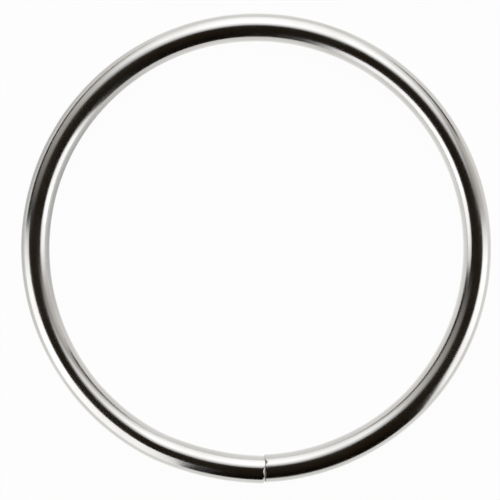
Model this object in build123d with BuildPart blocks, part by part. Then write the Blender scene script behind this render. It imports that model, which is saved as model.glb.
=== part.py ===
# Split ring: one length of round spring wire, coiled to a single turn and closed until its
# two cut ends butt together.
#
# The ring lies flat on the plane Z = 0 with its centre on the Z axis. The joint where the two
# ends meet is at -Y. The "left" end is the one that comes to it from -X, the "right" end the
# one from +X.

import math
import os

from build123d import *

# ---- driving dimensions (millimetres and degrees) ----
wire_diameter = 3.43
inner_diameter = 50.8
joint_gap = 0.04

# A ring is closed in a press or with pliers, which nip each end in a little way before the
# joint. The wire follows the true circle down to the nip, turns through it on a tighter radius,
# and runs on in one arc to the joint. The end offset is how far outside (+) or inside (-) the
# true circle the middle of the wire lies when it gets there.
left_nip_from_joint = 32.0
left_nip_radius = 19.5
left_nip_turn = 7.0
left_end_offset = 0.06

right_nip_from_joint = 44.0
right_nip_radius = 24.0
right_nip_turn = 6.0
right_end_offset = -0.09

# The shear rolls over the edge of the end that it pushes on and leaves the other nearly sharp.
left_edge_radius = 0.25
right_edge_radius = 0.05

# ---- worked-out sizes ----
wire_radius = wire_diameter / 2
mean_radius = (inner_diameter + wire_diameter) / 2

# Rings are cut off a close-wound coil, straight along the coil. Once a ring is pressed flat, the
# cut leans over by the angle at which the coil climbed: one wire thickness in each turn.
cut_lean = math.degrees(math.atan(wire_diameter / (2 * math.pi * mean_radius)))


def sprung_end(side, nip_from_joint, nip_radius, nip_turn, end_offset, edge_radius):
    """One end of the wire, from where it leaves the true circle to its cut face at the joint.

    side is -1 for the end on -X and +1 for the end on +X.
    """
    around = math.radians(nip_from_joint)
    leaves_circle = (side * mean_radius * math.sin(around), -mean_radius * math.cos(around))
    heading = (-side * math.cos(around), -math.sin(around))
    end_of_wire = (0, -(mean_radius + end_offset))

    with BuildPart() as end:
        with BuildLine(Plane.XY.offset(wire_radius)) as middle_of_wire:
            nip = JernArc(leaves_circle, heading, nip_radius, -side * nip_turn)
            run_in = TangentArc(nip @ 1, end_of_wire, tangent=nip % 1)
            Line(run_in @ 1, (run_in @ 1) + (run_in % 1) * wire_radius)
        with BuildSketch(Plane(origin=middle_of_wire.line @ 0, z_dir=middle_of_wire.line % 0)):
            Circle(wire_radius)
        sweep()
        # The line carries the wire past the joint, so that this block can cut it off square
        # across the ring, with the cut's lean.
        with Locations(Location((side * joint_gap / 2, -mean_radius, wire_radius), (0, cut_lean, 0))):
            Box(
                wire_diameter,
                2 * wire_diameter,
                2 * wire_diameter,
                align=(Align.MAX if side > 0 else Align.MIN, Align.CENTER, Align.CENTER),
                mode=Mode.SUBTRACT,
            )
        cut_face = end.faces().filter_by(GeomType.PLANE).sort_by(Axis.Y)[0]
        fillet(cut_face.edges(), edge_radius)
    return end


# ---- the ring ----
left_end = sprung_end(
    -1, left_nip_from_joint, left_nip_radius, left_nip_turn, left_end_offset, left_edge_radius
)
right_end = sprung_end(
    1, right_nip_from_joint, right_nip_radius, right_nip_turn, right_end_offset, right_edge_radius
)

with BuildPart() as ring:
    with BuildLine(Plane.XY.offset(wire_radius)) as true_circle:
        CenterArc(
            (0, 0), mean_radius, right_nip_from_joint - 90, 360 - left_nip_from_joint - right_nip_from_joint
        )
    with BuildSketch(Plane(origin=true_circle.line @ 0, z_dir=true_circle.line % 0)):
        Circle(wire_radius)
    sweep()
    add(left_end.part)
    add(right_end.part)

ring.part.label = "ring"

# ---- the file, and a line on what was made ----
os.makedirs("parts", exist_ok=True)
export_step(ring.part, "parts/ring.step")

box = ring.part.bounding_box()
print(f"ring: {len(ring.solids())} solid, volume {ring.part.volume:.2f} mm3, cut lean {cut_lean:.3f} degrees")
print(f"box: {box.size.X:.3f} x {box.size.Y:.3f} x {box.size.Z:.3f} mm, centre {box.center()}")
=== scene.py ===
# %% [markdown]
# # A split ring in bright nickel plate
#
# The real thing is one length of round spring wire. It is wound into a close coil, cut off the
# coil as a single turn, pressed flat and shut until the two cut ends butt together, then plated
# and polished. Nothing is added to it, so the whole look rests on three things: the true shape of
# the wire at its joint, a finish that is nearly a mirror, and what there is around it to reflect.
#
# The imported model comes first. It is a fixed frame: sizes are read from it, and nothing in it is
# moved or reshaped.

# %% The fixed frame
import math

import bpy
import numpy as np
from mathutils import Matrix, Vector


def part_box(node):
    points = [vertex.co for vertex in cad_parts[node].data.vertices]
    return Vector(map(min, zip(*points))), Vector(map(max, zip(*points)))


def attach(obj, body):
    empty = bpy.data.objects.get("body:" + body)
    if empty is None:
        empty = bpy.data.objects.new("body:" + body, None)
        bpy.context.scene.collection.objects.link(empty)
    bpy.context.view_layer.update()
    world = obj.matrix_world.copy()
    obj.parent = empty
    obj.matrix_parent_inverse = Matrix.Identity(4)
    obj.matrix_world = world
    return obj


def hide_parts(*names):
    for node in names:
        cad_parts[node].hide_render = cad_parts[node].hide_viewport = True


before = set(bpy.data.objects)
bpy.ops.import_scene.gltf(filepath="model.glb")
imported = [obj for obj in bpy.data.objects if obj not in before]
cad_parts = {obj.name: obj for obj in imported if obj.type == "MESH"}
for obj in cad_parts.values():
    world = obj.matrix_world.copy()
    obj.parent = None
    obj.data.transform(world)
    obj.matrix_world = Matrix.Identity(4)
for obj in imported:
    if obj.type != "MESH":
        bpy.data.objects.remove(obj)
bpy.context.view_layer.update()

MM = 0.001

ring_low, ring_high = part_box("ring")
wire_radius = (ring_high.z - ring_low.z) / 2
wire_height = (ring_high.z + ring_low.z) / 2
outer_radius = min(ring_high.x, -ring_low.x, ring_high.y)
mean_radius = outer_radius - wire_radius

print(f"wire {wire_radius * 2 / MM:.2f} mm thick, on a mean circle {mean_radius * 2 / MM:.2f} mm across")

# %% [markdown]
# ## The path of the wire
#
# A ring that is pressed shut isn't a perfect circle. Each end follows the circle down to a nip,
# turns through it on a tighter radius, and runs on in one arc to the joint. One could lay a curve
# object with a few handles through it, but three tangent arcs on each side say the same thing
# exactly, and a point anywhere on them is a short formula.
#
# The numbers are the ones that the solid was made with. A plan view is a flat place, so a complex
# number x + iy holds a point, and multiplying it by exp(i angle) turns it.

# %% Arcs from the back of the ring to the joint
NIPS = {
    -1: {"from_joint": 32.0, "radius": 19.5 * MM, "turn": 7.0, "end_offset": 0.06 * MM},
    1: {"from_joint": 44.0, "radius": 24.0 * MM, "turn": 6.0, "end_offset": -0.09 * MM},
}


def follow(place, heading, radius, turn):
    """Place and heading after an arc that bends to the right.

    The centre of the arc lies one radius to the right of the start, and the place swings about it
    by the turn: centre + (start - centre) exp(-i turn). The heading swings by as much.
    """
    centre = place - 1j * radius * np.exp(1j * heading)
    return centre + (place - centre) * np.exp(-1j * turn), heading - turn


def arcs_to_joint(from_joint, radius, turn, end_offset):
    """Start place, start heading, radius and length of the three arcs on the +X side.

    The last arc leaves the nip along its tangent and meets the joint at a given place. The angle
    between a tangent and the chord to that place is half the turn, and the radius is half the
    chord over the sine of that angle.
    """
    place = [1j * mean_radius]
    heading = [0.0]
    radii = [mean_radius, radius]
    turns = [math.pi - math.radians(from_joint), math.radians(turn)]
    for bend, angle in zip(radii, turns):
        p, h = follow(place[-1], heading[-1], bend, angle)
        place.append(p)
        heading.append(h)
    chord = -1j * (mean_radius + end_offset) - place[-1]
    half_turn = np.angle(np.exp(1j * heading[-1]) / chord)
    radii.append(abs(chord) / 2 / math.sin(half_turn))
    turns.append(2 * half_turn)
    return np.array(place), np.array(heading), np.array(radii), np.array(radii) * np.array(turns)


def middle_of_wire(distance):
    """Where the middle of the wire is, and its heading, at each distance from the back.

    Distances are below 0 on the -X side and above 0 on the +X side. Each falls on one of the
    three arcs of its side, and the -X side is worked out as if it were on +X and then mirrored.
    The heading points the way that the distance grows.
    """
    place = np.zeros(distance.shape, complex)
    heading = np.zeros(distance.shape)
    for side, nip in NIPS.items():
        here = distance * side >= 0
        starts, headings, radii, lengths = arcs_to_joint(**nip)
        walked = np.abs(distance[here])
        begins = np.concatenate([[0], np.cumsum(lengths)[:-1]])
        arc = np.searchsorted(begins, walked, side="right") - 1
        p, h = follow(starts[arc], headings[arc], radii[arc], (walked - begins[arc]) / radii[arc])
        place[here] = p if side > 0 else -p.conj()
        heading[here] = h if side > 0 else -h
    return place, heading


for side, nip in NIPS.items():
    _, _, radii, lengths = arcs_to_joint(**nip)
    arcs = ", ".join(f"{bend / MM:.2f} mm for {run / MM:.2f} mm" for bend, run in zip(radii, lengths))
    print(f"the {'right' if side > 0 else 'left'} side bends on radii of {arcs}")

# %% [markdown]
# ## The skin of the wire
#
# The wire is a round section carried along its path. A curve with a round bevel would do that in
# one line, but it can't be cut off along a leaning plane, and its cut edges can't be rolled over.
# So the skin is a grid of two parameters: the distance along the wire, and the angle around it.
# Because the finish is nearly a mirror, the grid is fine: any flat facet would show as a step in
# a reflection.
#
# Besides its place, every point keeps where it would lie if the wire were pulled straight. The
# marks of drawing and polishing follow the wire, so the finish is laid out on that.

# %% Points on the skin
AROUND = 96
ALONG = 900

around = np.arange(AROUND) * 2 * math.pi / AROUND


def in_space(plan, height):
    """Points in space from places in plan, as complex numbers, and heights."""
    return np.stack([plan.real, plan.imag, height], axis=-1)


def outward(distance):
    """Unit vector from the middle of the wire through each angle around it.

    cos(angle) times the way out from the ring's centre, which is the heading turned left by a
    quarter, plus sin(angle) times up.
    """
    _, heading = middle_of_wire(distance)
    return in_space(np.cos(around) * 1j * np.exp(1j * heading), np.sin(around) * np.ones(distance.shape))


def off_the_middle(distance, radius):
    """Points at a radius from the middle of the wire: middle + radius x outward."""
    place, _ = middle_of_wire(distance)
    middle = in_space(place, np.full(distance.shape, wire_height))
    return middle + np.asarray(radius)[..., None] * outward(distance)


# %% [markdown]
# ## The cut ends
#
# A coil of wire is cut straight along the coil. Once a ring is pressed flat, the cut leans over by
# the angle at which the coil climbed, one wire thickness in each turn, and both faces lean the same
# way. The shear rolls the edge of the left end over, most on the top and the outer side, before it
# breaks through. It leaves the right end sharp but for a small nick on the inner side, where the
# blade came in. The floor of the deep, narrow nick and the cut faces are painted darker: painted shade.
#
# A bevel modifier could round the edges, but only by the same amount all round, and always down to
# the face. Here each edge is the path of two small balls. The first touches the skin and turns the
# surface through the roll, and the second, much smaller, takes the rest of the turn to the face.
# The first ball may grow and shrink on its way round the wire.

# %% One rolled edge and its face
JOINT_GAP = 0.01 * MM
CUT_LEAN = math.atan(wire_radius / (math.pi * mean_radius))
SHARP_EDGE = 0.01 * MM
LEAST_ROLL = 0.02 * MM
LEFT_ROLL = 0.75 * MM
NICK_ROLL = 0.55 * MM
ROLL_TURN = {-1: math.radians(50), 1: math.radians(55)}
# Painted shade on the floor of the nick: how dark it gets, and how it spreads over the roll.
NICK_SHADE_DEPTH = 0.8
NICK_SHADE_POWER = 0.5
ROLL_STEPS = 10
SHARP_STEPS = 4
FACE_RINGS = 4
NEWTON_ROUNDS = 8


def patch(middle, reach, power):
    """1 at one angle around the wire and 0 far from it: exp(-(angle from the middle / reach)^power).

    The middle and the reach are in degrees: 0 is the outer side, 90 the top, 180 the inner side. A
    high power gives a flat top and steep sides.
    """
    off = (np.degrees(around) - middle + 180) % 360 - 180
    return np.exp(-(np.abs(off / reach) ** power))


ROLL_RADII = {
    -1: LEAST_ROLL + (LEFT_ROLL - LEAST_ROLL) * patch(middle=20, reach=85, power=8),
    1: LEAST_ROLL + (NICK_ROLL - LEAST_ROLL) * patch(middle=124, reach=12, power=2),
}
# Painted shade: the floor of the nick is made darker.
PAINTED_NICK_SHADE = {-1: np.zeros(AROUND), 1: NICK_SHADE_DEPTH * patch(middle=128, reach=7, power=2)}
for side, radii in ROLL_RADII.items():
    span = f"{radii.min() / MM:.2f} to {radii.max() / MM:.2f} mm"
    print(f"the {'right' if side > 0 else 'left'} edge is rolled over on a radius of {span}")


def cut_end(side):
    """Grid rows from the skin over the edge to the middle of the cut face.

    Returns the distance along the wire where the skin ends, for each angle around, then the rows
    of points, the same points on the straightened wire, how far each point is into the cut (0 on
    the skin, 1 on the face, in between over the nick's painted shade), and the middle of the face.

    The first ball's middle lies one roll radius under the skin. A direction part of the way from
    the skin's normal to the face's is the sum of both, each times the sine of the angle to the
    other, over the sine of the angle between them. The second ball's middle lies on the direction
    that the first one leaves in, at the difference of their radii. The distance is found by
    Newton's method: the height over the face of where the second ball should touch it, over the
    slope of that height along the wire.
    """
    roll = ROLL_RADII[side]
    turn = ROLL_TURN[side]
    face_out = -side * np.array([math.cos(CUT_LEAN), 0, -math.sin(CUT_LEAN)])
    on_face = np.array([side * JOINT_GAP / 2, -mean_radius, wire_height])
    distance = np.full(AROUND, side * arcs_to_joint(**NIPS[side])[3].sum())

    def leaning(way_out, corner, angle):
        return (np.sin(corner - angle) * way_out + np.sin(angle) * face_out) / np.sin(corner)

    for _ in range(NEWTON_ROUNDS):
        _, heading = middle_of_wire(distance)
        way_out = outward(distance)
        corner = np.arccos(way_out @ face_out)[:, None]
        first_ball = off_the_middle(distance, wire_radius - roll)
        second_ball = first_ball + (roll - SHARP_EDGE)[:, None] * leaning(way_out, corner, turn)
        slope = in_space(np.exp(1j * heading), np.zeros(AROUND)) @ face_out
        distance = distance - ((second_ball - on_face) @ face_out + SHARP_EDGE) / slope

    roll_share = np.linspace(0, 1, ROLL_STEPS + 1)[1:, None, None]
    sharp_share = np.linspace(0, 1, SHARP_STEPS + 1)[1:, None, None]
    roll_angle = roll_share * turn
    sharp_angle = turn + sharp_share * (corner - turn)
    roll_rows = first_ball + roll[:, None] * leaning(way_out, corner, roll_angle)
    sharp_rows = second_ball + SHARP_EDGE * leaning(way_out, corner, sharp_angle)

    shrink = np.linspace(1, 0, FACE_RINGS + 1)[1:-1, None, None]
    middle_of_face = sharp_rows[-1].mean(axis=0)
    face_rows = middle_of_face + shrink * (sharp_rows[-1] - middle_of_face)

    roll_angle = roll_angle[..., 0]
    sharp_angle = sharp_angle[..., 0]
    roll_thick = wire_radius - roll * (1 - np.cos(roll_angle))
    roll_along = roll * np.sin(roll_angle)
    sharp_thick = roll_thick[-1] - SHARP_EDGE * (math.cos(turn) - np.cos(sharp_angle))
    sharp_along = roll_along[-1] + SHARP_EDGE * (np.sin(sharp_angle) - math.sin(turn))
    thick = np.concatenate([roll_thick, sharp_thick, shrink[..., 0] * sharp_thick[-1]])
    face_along = np.repeat(sharp_along[-1:], FACE_RINGS - 1, axis=0)
    along = distance + side * np.concatenate([roll_along, sharp_along, face_along])
    straight = np.stack([along, thick * np.cos(around), thick * np.sin(around)], axis=-1)

    # Painted shade in the nick, rising over the roll towards the face.
    shade_on_roll = roll_share[..., 0] ** NICK_SHADE_POWER * PAINTED_NICK_SHADE[side]
    on_edge = shade_on_roll[-1] + sharp_share[..., 0] * (1 - shade_on_roll[-1])
    cut_and_nick_shade = np.concatenate([shade_on_roll, on_edge, np.ones((FACE_RINGS - 1, AROUND))])
    rows = np.concatenate([roll_rows, sharp_rows, face_rows])
    return distance, rows, straight, cut_and_nick_shade, middle_of_face


left_end, left_rows, left_straight, left_cut, left_middle = cut_end(-1)
right_end, right_rows, right_straight, right_cut, right_middle = cut_end(1)
print(f"the skin runs from {left_end.mean() / MM:.2f} to {right_end.mean() / MM:.2f} mm along the wire")

# %% [markdown]
# ## The mesh
#
# The rows go from the middle of the left face, over its edge, round the skin and over the right
# edge to the middle of the right face. Both ends of such a grid are closed with a fan to one point,
# and the last column joins the first, so that the ring is one closed surface.

# %% Rows into a closed mesh
def closed_tube(name, rows, first_pole, last_pole):
    """A mesh through rows of points, each row a closed loop, with a fan of triangles at each end.

    Point (row, column) has the index row x columns + column. A four-sided face takes the points
    at (row, column), (row, column + 1), (row + 1, column + 1) and (row + 1, column).
    """
    row_count, columns, _ = rows.shape
    index = np.arange(row_count * columns).reshape(row_count, columns)
    following = np.roll(index, -1, axis=1)
    quads = np.stack([index[:-1], following[:-1], following[1:], index[1:]], axis=-1).reshape(-1, 4)
    first = np.full(columns, row_count * columns)
    fans = [
        np.stack([following[0], index[0], first], axis=-1),
        np.stack([index[-1], following[-1], first + 1], axis=-1),
    ]
    points = np.concatenate([rows.reshape(-1, 3), [first_pole, last_pole]])
    mesh = bpy.data.meshes.new(name)
    mesh.from_pydata(points.tolist(), [], quads.tolist() + np.concatenate(fans).tolist())
    mesh.polygons.foreach_set("use_smooth", np.ones(len(mesh.polygons), bool))
    return mesh


def keep_on_points(mesh, name, kind, values):
    """Stores one value, or one vector, on each point of the mesh."""
    attribute = mesh.attributes.new(name, kind, "POINT")
    field = "vector" if kind == "FLOAT_VECTOR" else "value"
    attribute.data.foreach_set(field, np.ascontiguousarray(values, dtype=np.float32).ravel())


# %% The ring
share = np.linspace(0, 1, ALONG + 1)[:, None]
skin_distance = left_end + share * (right_end - left_end)
skin_rows = off_the_middle(skin_distance, wire_radius)
skin_straight = np.stack(
    [
        skin_distance,
        np.broadcast_to(wire_radius * np.cos(around), skin_distance.shape),
        np.broadcast_to(wire_radius * np.sin(around), skin_distance.shape),
    ],
    axis=-1,
)

rows = np.concatenate([left_rows[::-1], skin_rows, right_rows])
straight = np.concatenate([left_straight[::-1], skin_straight, right_straight])
cut_and_nick_shade = np.concatenate([left_cut[::-1], np.zeros((ALONG + 1, AROUND)), right_cut])

ring_mesh = closed_tube("ring_wire", rows, left_middle, right_middle)
poles = np.array([[left_end.mean(), 0, 0], [right_end.mean(), 0, 0]])
keep_on_points(ring_mesh, "straight_wire", "FLOAT_VECTOR", np.concatenate([straight.reshape(-1, 3), poles]))
keep_on_points(ring_mesh, "cut_and_nick_shade", "FLOAT", np.concatenate([cut_and_nick_shade.ravel(), [1, 1]]))

ring = bpy.data.objects.new("ring_wire", ring_mesh)
bpy.context.scene.collection.objects.link(ring)
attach(ring, "root")
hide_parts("ring")
triangles = sum(len(p.vertices) - 2 for p in ring_mesh.polygons)
print(f"the ring has {len(ring_mesh.vertices)} points and {triangles} triangles")

# %% [markdown]
# ## Bright nickel
#
# Nickel is laid over the bare wire in a bath, and what is under it shows through: the wire keeps
# the fine lengthwise lines of the die that it was drawn through, and the plating follows them. The
# lines are finer than the eye can part, but they spread every reflection across the wire and leave
# it sharp along the wire, which is what tells drawn wire from a cast or turned ring. Handling in
# bulk adds a slight haze in patches, and hairline marks. The sheared faces are rougher, and they
# and the floor of the nick are painted darker, as painted shade in the closed joint and the nick.
#
# One could paint all of this into an image. As nodes on the straightened wire it needs no seam and
# stays sharp at any size. The effects are node groups with named sockets, so that one group can be
# placed more than once with its own values.

# %% Helpers for nodes
def add_node(tree, kind, inputs, **settings):
    """Adds a shader node. Each input gets a value or, where an output is given, a link to it."""
    made = tree.nodes.new("ShaderNode" + kind)
    for name, value in settings.items():
        setattr(made, name, value)
    for name, value in inputs.items():
        if isinstance(value, bpy.types.NodeSocket):
            tree.links.new(value, made.inputs[name])
        else:
            made.inputs[name].default_value = value
    return made


def work_out(tree, operation, *values):
    """The result of a Math node on up to three values."""
    return add_node(tree, "Math", dict(enumerate(values)), operation=operation).outputs[0]


def blend(tree, factor, low, high):
    """The colour between two colours, low at factor 0 and high at factor 1."""
    colours = {"Factor": factor, "A": low, "B": high}
    return add_node(tree, "Mix", colours, data_type="RGBA").outputs["Result"]


def ramp(tree, value, low, high, to_low=0.0, to_high=1.0):
    """A value carried from the span low to high over to the span to_low to to_high, held beyond."""
    spans = {"Value": value, "From Min": low, "From Max": high, "To Min": to_low, "To Max": to_high}
    return add_node(tree, "MapRange", spans).outputs["Result"]


# %% Helpers for node groups
def new_group(name, inputs, outputs):
    """An empty node group with named sockets, and its two end nodes."""
    group = bpy.data.node_groups.new(name, "ShaderNodeTree")
    for way, sockets in {"INPUT": inputs, "OUTPUT": outputs}.items():
        for socket, kind in sockets.items():
            group.interface.new_socket(socket, in_out=way, socket_type="NodeSocket" + kind)
    return group, group.nodes.new("NodeGroupInput"), group.nodes.new("NodeGroupOutput")


def place_group(tree, group, inputs):
    """Puts a node group into a material with its own values, and gives back its one output."""
    return add_node(tree, "Group", inputs, node_tree=group).outputs[0]


def long_noise(tree, place, length, width, detail):
    """Noise that is pulled long one way: the place is divided by (length, width, width).

    On such a place, the noise changes about once a unit.
    """
    sizes = add_node(tree, "CombineXYZ", {"X": length, "Y": width, "Z": width}).outputs[0]
    units = add_node(tree, "VectorMath", {0: place, 1: sizes}, operation="DIVIDE").outputs[0]
    noise = add_node(tree, "TexNoise", {"Vector": units, "Scale": 1.0, "Detail": detail})
    return noise.outputs["Fac"]


# %% Drawn lines
LINE_DETAIL = 2.0


def drawn_lines_group():
    """Noise on the straightened wire, pressed thin across it and pulled long along it."""
    sockets = {"Place": "Vector", "Length": "Float", "Spacing": "Float"}
    group, given, result = new_group("drawn_lines", sockets, {"Height": "Float"})
    given = given.outputs
    lines = long_noise(group, given["Place"], given["Length"], given["Spacing"], LINE_DETAIL)
    group.links.new(lines, result.inputs["Height"])
    return group


drawn_lines = drawn_lines_group()
print("drawn lines:", [item.name for item in drawn_lines.interface.items_tree])

# %% Hairline marks
SLANT_AXIS = (0.0, 0.7, 0.7)
MARK_DETAIL = 0.0
MARK_RISE = 0.05


def hairlines_group():
    """Short thin marks at a slant: the peaks of a stretched noise, on a place that is turned first.

    Only the part of the noise over the floor value counts, and it reaches 1 a little above.
    """
    sockets = {"Place": "Vector", "Slant": "Float", "Length": "Float", "Width": "Float", "Floor": "Float"}
    group, given, result = new_group("hairlines", sockets, {"Mark": "Float"})
    given = given.outputs
    slant = {"Vector": given["Place"], "Angle": given["Slant"], "Axis": SLANT_AXIS}
    turned = add_node(group, "VectorRotate", slant).outputs[0]
    noise = long_noise(group, turned, given["Length"], given["Width"], MARK_DETAIL)
    over = work_out(group, "SUBTRACT", noise, given["Floor"])
    group.links.new(ramp(group, over, 0.0, MARK_RISE), result.inputs["Mark"])
    return group


hairlines = hairlines_group()
print("hairlines:", [item.name for item in hairlines.interface.items_tree])

# %% The finish in numbers
BRIGHT_NICKEL = (0.67, 0.66, 0.635, 1)
HAZY_NICKEL = (0.61, 0.595, 0.565, 1)
# Painted shade: the cut faces in the closed joint and the floor of the nick take this darker colour.
PAINTED_SHADE_IN_CUT = (0.42, 0.40, 0.37, 1)
FACE_SPAN = (0.25, 1.0)

FINE_LINES = {"Length": 4 * MM, "Spacing": 0.05 * MM}
BROAD_LINES = {"Length": 30 * MM, "Spacing": 0.3 * MM}
MARKS = {"Length": 1.5 * MM, "Width": 0.05 * MM, "Floor": 0.8}
MARK_SLANTS = (0.5, -0.8)
FINE_DEPTH = 0.002 * MM
BROAD_DEPTH = 0.005 * MM
MARK_DEPTH = 0.0015 * MM

HAZE = {"Scale": 150.0, "Detail": 3.0}
CLOUD_SPAN = (0.4, 0.75)
POLISH_SPAN = (0.35, 0.75)
ROUGHNESS = (0.15, 0.2)
ROUGHER_IN_MARKS = 0.05
ROUGHER_IN_CUT = 0.35
print(f"roughness {ROUGHNESS[0]} to {ROUGHNESS[1]} on the skin, and up to {ROUGHER_IN_CUT} more in the cut")


# %% The nickel
def relief(tree, height, depth, over, **settings):
    """The normal after a Bump node at full strength, on top of the normal given in over, if any."""
    inputs = {"Height": height, "Distance": depth, "Strength": 1.0} | over
    return add_node(tree, "Bump", inputs, **settings).outputs["Normal"]


def nickel_plate():
    """Bright nickel over drawn wire."""
    material = bpy.data.materials.new("nickel_plate")
    material.use_nodes = True
    tree = material.node_tree
    shader = tree.nodes["Principled BSDF"]
    shader.inputs["Metallic"].default_value = 1

    place = add_node(tree, "Attribute", {}, attribute_name="straight_wire").outputs["Vector"]
    cut = add_node(tree, "Attribute", {}, attribute_name="cut_and_nick_shade").outputs["Fac"]
    face = ramp(tree, cut, *FACE_SPAN)
    haze = add_node(tree, "TexNoise", {"Vector": place} | HAZE).outputs["Fac"]
    fine = place_group(tree, drawn_lines, {"Place": place} | FINE_LINES)
    broad = place_group(tree, drawn_lines, {"Place": place} | BROAD_LINES)
    on_wire = {"Place": place} | MARKS
    marks = [place_group(tree, hairlines, on_wire | {"Slant": slant}) for slant in MARK_SLANTS]
    mark = work_out(tree, "MAXIMUM", *marks)

    skin = blend(tree, ramp(tree, haze, *CLOUD_SPAN), BRIGHT_NICKEL, HAZY_NICKEL)
    # The cut faces and the nick floor get the darker colour: painted shade.
    tree.links.new(blend(tree, face, skin, PAINTED_SHADE_IN_CUT), shader.inputs["Base Color"])

    polish = ramp(tree, haze, *POLISH_SPAN, *ROUGHNESS)
    marked = work_out(tree, "MULTIPLY_ADD", mark, ROUGHER_IN_MARKS, polish)
    dull = work_out(tree, "MULTIPLY_ADD", face, ROUGHER_IN_CUT, marked)
    tree.links.new(dull, shader.inputs["Roughness"])

    wavy = relief(tree, broad, BROAD_DEPTH, {})
    lined = relief(tree, fine, FINE_DEPTH, {"Normal": wavy})
    scratched = relief(tree, mark, MARK_DEPTH, {"Normal": lined}, invert=True)
    tree.links.new(scratched, shader.inputs["Normal"])
    return material


ring_mesh.materials.append(nickel_plate())
print(f"the nickel has {len(ring_mesh.materials[0].node_tree.nodes)} nodes")

# %% [markdown]
# ## The table
#
# The ring lies on a white table. Under plain light a white table renders light grey, so what is
# seen of it is mixed with a white glow. The camera sees nearly all of the glow. The metal sees most
# of it, and the rest is the lit table with the ring's own shadow on it. Both of the ring's rims
# reflect the table close by, so they are grey, and darkest where a shadow falls. The metal's share
# of the glow also falls off towards one place beside the ring, a painted shadow that only the metal
# sees, so the rims near it are a darker grey. Right beside the wire the glow that the metal sees is
# made stronger, a painted pool of light, so each rim is lighter at its very edge.

# %% The white table
TABLE_RADIUS = 4.0
TABLE_SIDES = 96
TABLE_MATT = (0.9, 0.9, 0.9, 1)
GLOW_WHITE = (1, 1, 1, 1)
SEEN_BY_CAMERA = 0.96
SEEN_IN_METAL = 0.85
# A painted shadow that only the metal sees: the glow dims near this place beside the ring.
PAINTED_SHADOW_PLACE = (-27 * MM, 10 * MM, 0)
PAINTED_SHADOW_SPAN = (8 * MM, 26 * MM)
PAINTED_SHADOW_LEVEL = 0.2
# A painted pool of light that only the metal sees, right beside the wire.
PAINTED_POOL_REACH = 4 * MM
PAINTED_POOL_LIGHT = 0.25


def glow_share(tree, rays, mirror, place):
    """The share of glow in what a ray sees: one level for the camera, one by place for metal."""
    # Painted shadow: in metal the share of glow falls off towards one place.
    away = add_node(tree, "VectorMath", {0: place, 1: PAINTED_SHADOW_PLACE}, operation="DISTANCE")
    level = ramp(tree, away.outputs["Value"], *PAINTED_SHADOW_SPAN, PAINTED_SHADOW_LEVEL, SEEN_IN_METAL)
    in_metal = work_out(tree, "MULTIPLY", mirror, level)
    direct = work_out(tree, "MULTIPLY", rays["Is Camera Ray"], SEEN_BY_CAMERA)
    return work_out(tree, "MAXIMUM", in_metal, direct)


def glow_strength(tree, mirror, place):
    """1, and in metal more beside the wire: 1 + a painted pool of light, which ends a short way from it."""
    from_centre = add_node(tree, "VectorMath", {0: place}, operation="LENGTH").outputs["Value"]
    past_middle = work_out(tree, "SUBTRACT", from_centre, mean_radius)
    off_middle = work_out(tree, "ABSOLUTE", past_middle)
    # Painted light: the metal sees a stronger glow right beside the wire.
    painted_pool = ramp(tree, off_middle, wire_radius, wire_radius + PAINTED_POOL_REACH, PAINTED_POOL_LIGHT, 0.0)
    return work_out(tree, "MULTIPLY_ADD", mirror, painted_pool, 1.0)


def table_white():
    """A matt white, mixed with a glow for the rays of the camera and of mirrors and glass."""
    material = bpy.data.materials.new("table_white")
    material.use_nodes = True
    tree = material.node_tree
    tree.nodes.clear()
    rays = add_node(tree, "LightPath", {}).outputs
    mirror = work_out(tree, "MAXIMUM", rays["Is Glossy Ray"], rays["Is Transmission Ray"])
    place = add_node(tree, "TexCoord", {}).outputs["Object"]
    share = glow_share(tree, rays, mirror, place)
    strength = glow_strength(tree, mirror, place)
    matt = add_node(tree, "BsdfDiffuse", {"Color": TABLE_MATT})
    glow = add_node(tree, "Emission", {"Color": GLOW_WHITE, "Strength": strength})
    mix = add_node(tree, "MixShader", {0: share, 1: matt.outputs[0], 2: glow.outputs[0]})
    add_node(tree, "OutputMaterial", {"Surface": mix.outputs[0]})
    return material


turn = np.arange(TABLE_SIDES) * 2 * math.pi / TABLE_SIDES
rim = in_space(TABLE_RADIUS * np.exp(1j * turn), np.zeros(TABLE_SIDES))
table_mesh = bpy.data.meshes.new("table")
table_mesh.from_pydata(rim.tolist(), [], [list(range(TABLE_SIDES))])
table_mesh.materials.append(table_white())
table = bpy.data.objects.new("table", table_mesh)
bpy.context.scene.collection.objects.link(table)
print(f"the table is {2 * TABLE_RADIUS:.0f} m across")

# %% [markdown]
# ## Softboxes
#
# A mirror finish has no look of its own: it shows what stands round it. Small polished things are
# lit with large soft lamps that stand close, with darkness left between them, and the dark gaps
# draw the shape as much as the lamps do. Area lamps would do, but they are the same all over. A
# real softbox is brightest over its bulb and falls off to its sides, so each one here is a cloth
# with a glow of its own, worked out from where a point lies across it and up it. Two wings and a
# card only pass on the light of the softboxes, so they are warmer, and fade further.

# %% A cloth between four corners
CLOTH_POINTS = 13


def at(azimuth, distance, height):
    """A point by its direction, clockwise from the back of the ring, and its distance and height."""
    way = math.radians(azimuth)
    return [distance * math.sin(way), distance * math.cos(way), height]


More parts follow.
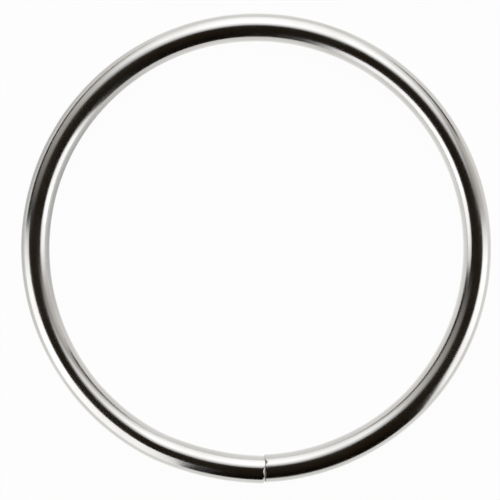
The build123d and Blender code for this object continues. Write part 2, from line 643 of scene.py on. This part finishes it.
def stretched_cloth(name, corners):
    """A mesh between four corners, from the lower left round to the upper left.

    A point a share across and a share up lies between the lower and the upper edge, each of which
    runs straight between two corners. The UV map "panel" keeps both shares.
    """
    share = np.linspace(0, 1, CLOTH_POINTS)
    across, up = np.meshgrid(share, share)
    low_left, low_right, high_right, high_left = [np.array(corner) for corner in corners]
    low_edge = low_left + across[..., None] * (low_right - low_left)
    high_edge = high_left + across[..., None] * (high_right - high_left)
    cloth = low_edge + up[..., None] * (high_edge - low_edge)
    index = np.arange(CLOTH_POINTS**2).reshape(CLOTH_POINTS, CLOTH_POINTS)
    corner_index = [index[:-1, :-1], index[:-1, 1:], index[1:, 1:], index[1:, :-1]]
    quads = np.stack(corner_index, axis=-1).reshape(-1, 4)
    mesh = bpy.data.meshes.new(name)
    mesh.from_pydata(cloth.reshape(-1, 3).tolist(), [], quads.tolist())
    panel_uv = np.stack([across, up], axis=-1).reshape(-1, 2)[quads.ravel()]
    mesh.uv_layers.new(name="panel").data.foreach_set("uv", panel_uv.ravel())
    return mesh


# %% The lamp behind it
PANEL_SIDES = {"left": ("X", 0), "right": ("X", 1), "top": ("Y", 1), "bottom": ("Y", 0)}


def cloth_glow(name, colour, glow, fades):
    """A glow that falls off towards some sides of the panel.

    A fade gives its reach, as a share of the panel, and the level that the glow falls to at that
    side. The glow is multiplied by each fade in turn.
    """
    material = bpy.data.materials.new(name)
    material.use_nodes = True
    tree = material.node_tree
    tree.nodes.clear()
    place = add_node(tree, "UVMap", {}, uv_map="panel").outputs["UV"]
    axes = add_node(tree, "SeparateXYZ", {"Vector": place}).outputs
    strength = glow
    for side, (reach, level) in fades.items():
        axis, edge = PANEL_SIDES[side]
        inner = edge + reach * (1 - 2 * edge)
        strength = work_out(tree, "MULTIPLY", ramp(tree, axes[axis], inner, edge, 1.0, level), strength)
    lamp = add_node(tree, "Emission", {"Color": colour, "Strength": strength})
    add_node(tree, "OutputMaterial", {"Surface": lamp.outputs[0]})
    return material


def softbox(name, corners, colour, glow, **fades):
    """Hangs a glowing cloth. The camera looks past it, and the metal doesn't."""
    mesh = stretched_cloth(name, corners)
    mesh.materials.append(cloth_glow(name, colour, glow, fades))
    panel = bpy.data.objects.new(name, mesh)
    panel.visible_camera = False
    bpy.context.scene.collection.objects.link(panel)
    height = max(corner[2] for corner in corners)
    print(f"{name}: a glow of {glow:.2f}, up to {height:.2f} m over the table")


# %% Three softboxes, two wings and a card
DAYLIGHT = (0.965, 0.975, 1.0, 1)
CARD_CREAM = (1.0, 0.965, 0.935, 1)

softbox(
    "softbox_back",
    [at(-23, 0.69, 0.01), at(37, 0.426, 0.01), at(81, 0.208, 0.354), at(-53.5, 0.297, 0.354)],
    colour=DAYLIGHT,
    glow=1.68,
    left=(0.5, 0.7),
    right=(0.2, 0.6),
    top=(0.3, 0.3),
    bottom=(0.65, 0.75),
)
softbox(
    "wing_left",
    [at(283.5, 0.6, 0.245), at(335, 0.6, 0.045), at(335, 0.6, 1.28), at(283.5, 0.6, 1.28)],
    colour=CARD_CREAM,
    glow=1.0,
    left=(0.95, 0.09),
    top=(0.65, 0.16),
)
softbox(
    "wing_right",
    [at(30, 0.6, 0.04), at(64.2, 0.6, 0.23), at(64.2, 0.6, 0.8), at(30, 0.6, 0.8)],
    colour=CARD_CREAM,
    glow=1.18,
    right=(0.95, 0.34),
    top=(0.3, 0.2),
)
softbox(
    "softbox_left",
    [at(278, 0.3, 0.0), at(201, 0.075, 0.0), at(201, 0.075, 0.068), at(278, 0.3, 0.22)],
    colour=DAYLIGHT,
    glow=1.64,
    left=(0.6, 0.5),
    right=(0.14, 0.74),
    top=(0.12, 0.45),
)
softbox(
    "softbox_right",
    [at(84.5, 0.147, 0.0), at(137, 0.17, 0.0), at(124, 0.17, 0.174), at(84.5, 0.147, 0.145)],
    colour=DAYLIGHT,
    glow=1.58,
    left=(0.2, 0.5),
    right=(0.2, 0.55),
    top=(0.27, 0.52),
)
softbox(
    "card_right",
    [at(63.3, 0.3, 0.0), at(85, 0.3, 0.0), at(85, 0.3, 0.59), at(63.3, 0.3, 0.59)],
    colour=CARD_CREAM,
    glow=0.73,
    top=(0.92, 0.08),
)

# %% [markdown]
# ## The room
#
# Beyond the lamps the room is nearly black: a little warm light overhead, hardly any to the sides.
# Only its foot, where it meets the table, is pale.

# %% The room around the table
ROOM_FOOT = (1.0, 1.0, 1.0, 1)
ROOM_SIDE = (0.004, 0.002, 0.0005, 1)
ROOM_TOP = (0.014, 0.009, 0.004, 1)
FOOT_SPAN = (0.012, 0.045)
TOP_SPAN = (0.6, 0.95)

world = bpy.data.worlds.new("room")
bpy.context.scene.world = world
world.use_nodes = True
tree = world.node_tree
way = add_node(tree, "TexCoord", {}).outputs["Generated"]
height = add_node(tree, "SeparateXYZ", {"Vector": way}).outputs["Z"]
walls = blend(tree, ramp(tree, height, *TOP_SPAN), ROOM_SIDE, ROOM_TOP)
room = blend(tree, ramp(tree, height, *FOOT_SPAN), ROOM_FOOT, walls)
tree.links.new(room, tree.nodes["Background"].inputs["Color"])
print(f"the pale foot ends {math.degrees(math.asin(FOOT_SPAN[1])):.1f} degrees over the table")

# %% [markdown]
# ## The camera
#
# The camera looks straight down from close by, so the outer side of the wire shows a little more
# than the inner side. Its lens follows from how much of the frame's width the ring takes. It is
# turned a little, and it stands a little to one side, by two shares of the frame's width.

# %% Straight down
CAMERA_DISTANCE = 0.22
RING_SHARE = 0.94
CAMERA_TURN = math.radians(-2.34)
OFF_CENTRE = (0.0124, 0.0034)

reach = math.hypot(CAMERA_DISTANCE, mean_radius)
outer_angle = math.atan(mean_radius / CAMERA_DISTANCE) + math.asin(wire_radius / reach)
lens = bpy.data.cameras.new("camera")
lens.lens = lens.sensor_width / 2 * RING_SHARE / math.tan(outer_angle)
frame_width = CAMERA_DISTANCE * lens.sensor_width / lens.lens
aside = complex(*OFF_CENTRE) * frame_width * np.exp(1j * CAMERA_TURN)
camera = bpy.data.objects.new("camera", lens)
camera.location = (-aside.real, -aside.imag, wire_height + CAMERA_DISTANCE)
camera.rotation_euler = (0, 0, CAMERA_TURN)
bpy.context.scene.collection.objects.link(camera)
bpy.context.scene.camera = camera
bpy.context.scene.view_settings.view_transform = "Standard"
print(f"lens {lens.lens:.1f} mm, frame {frame_width / MM:.1f} mm across at the ring")
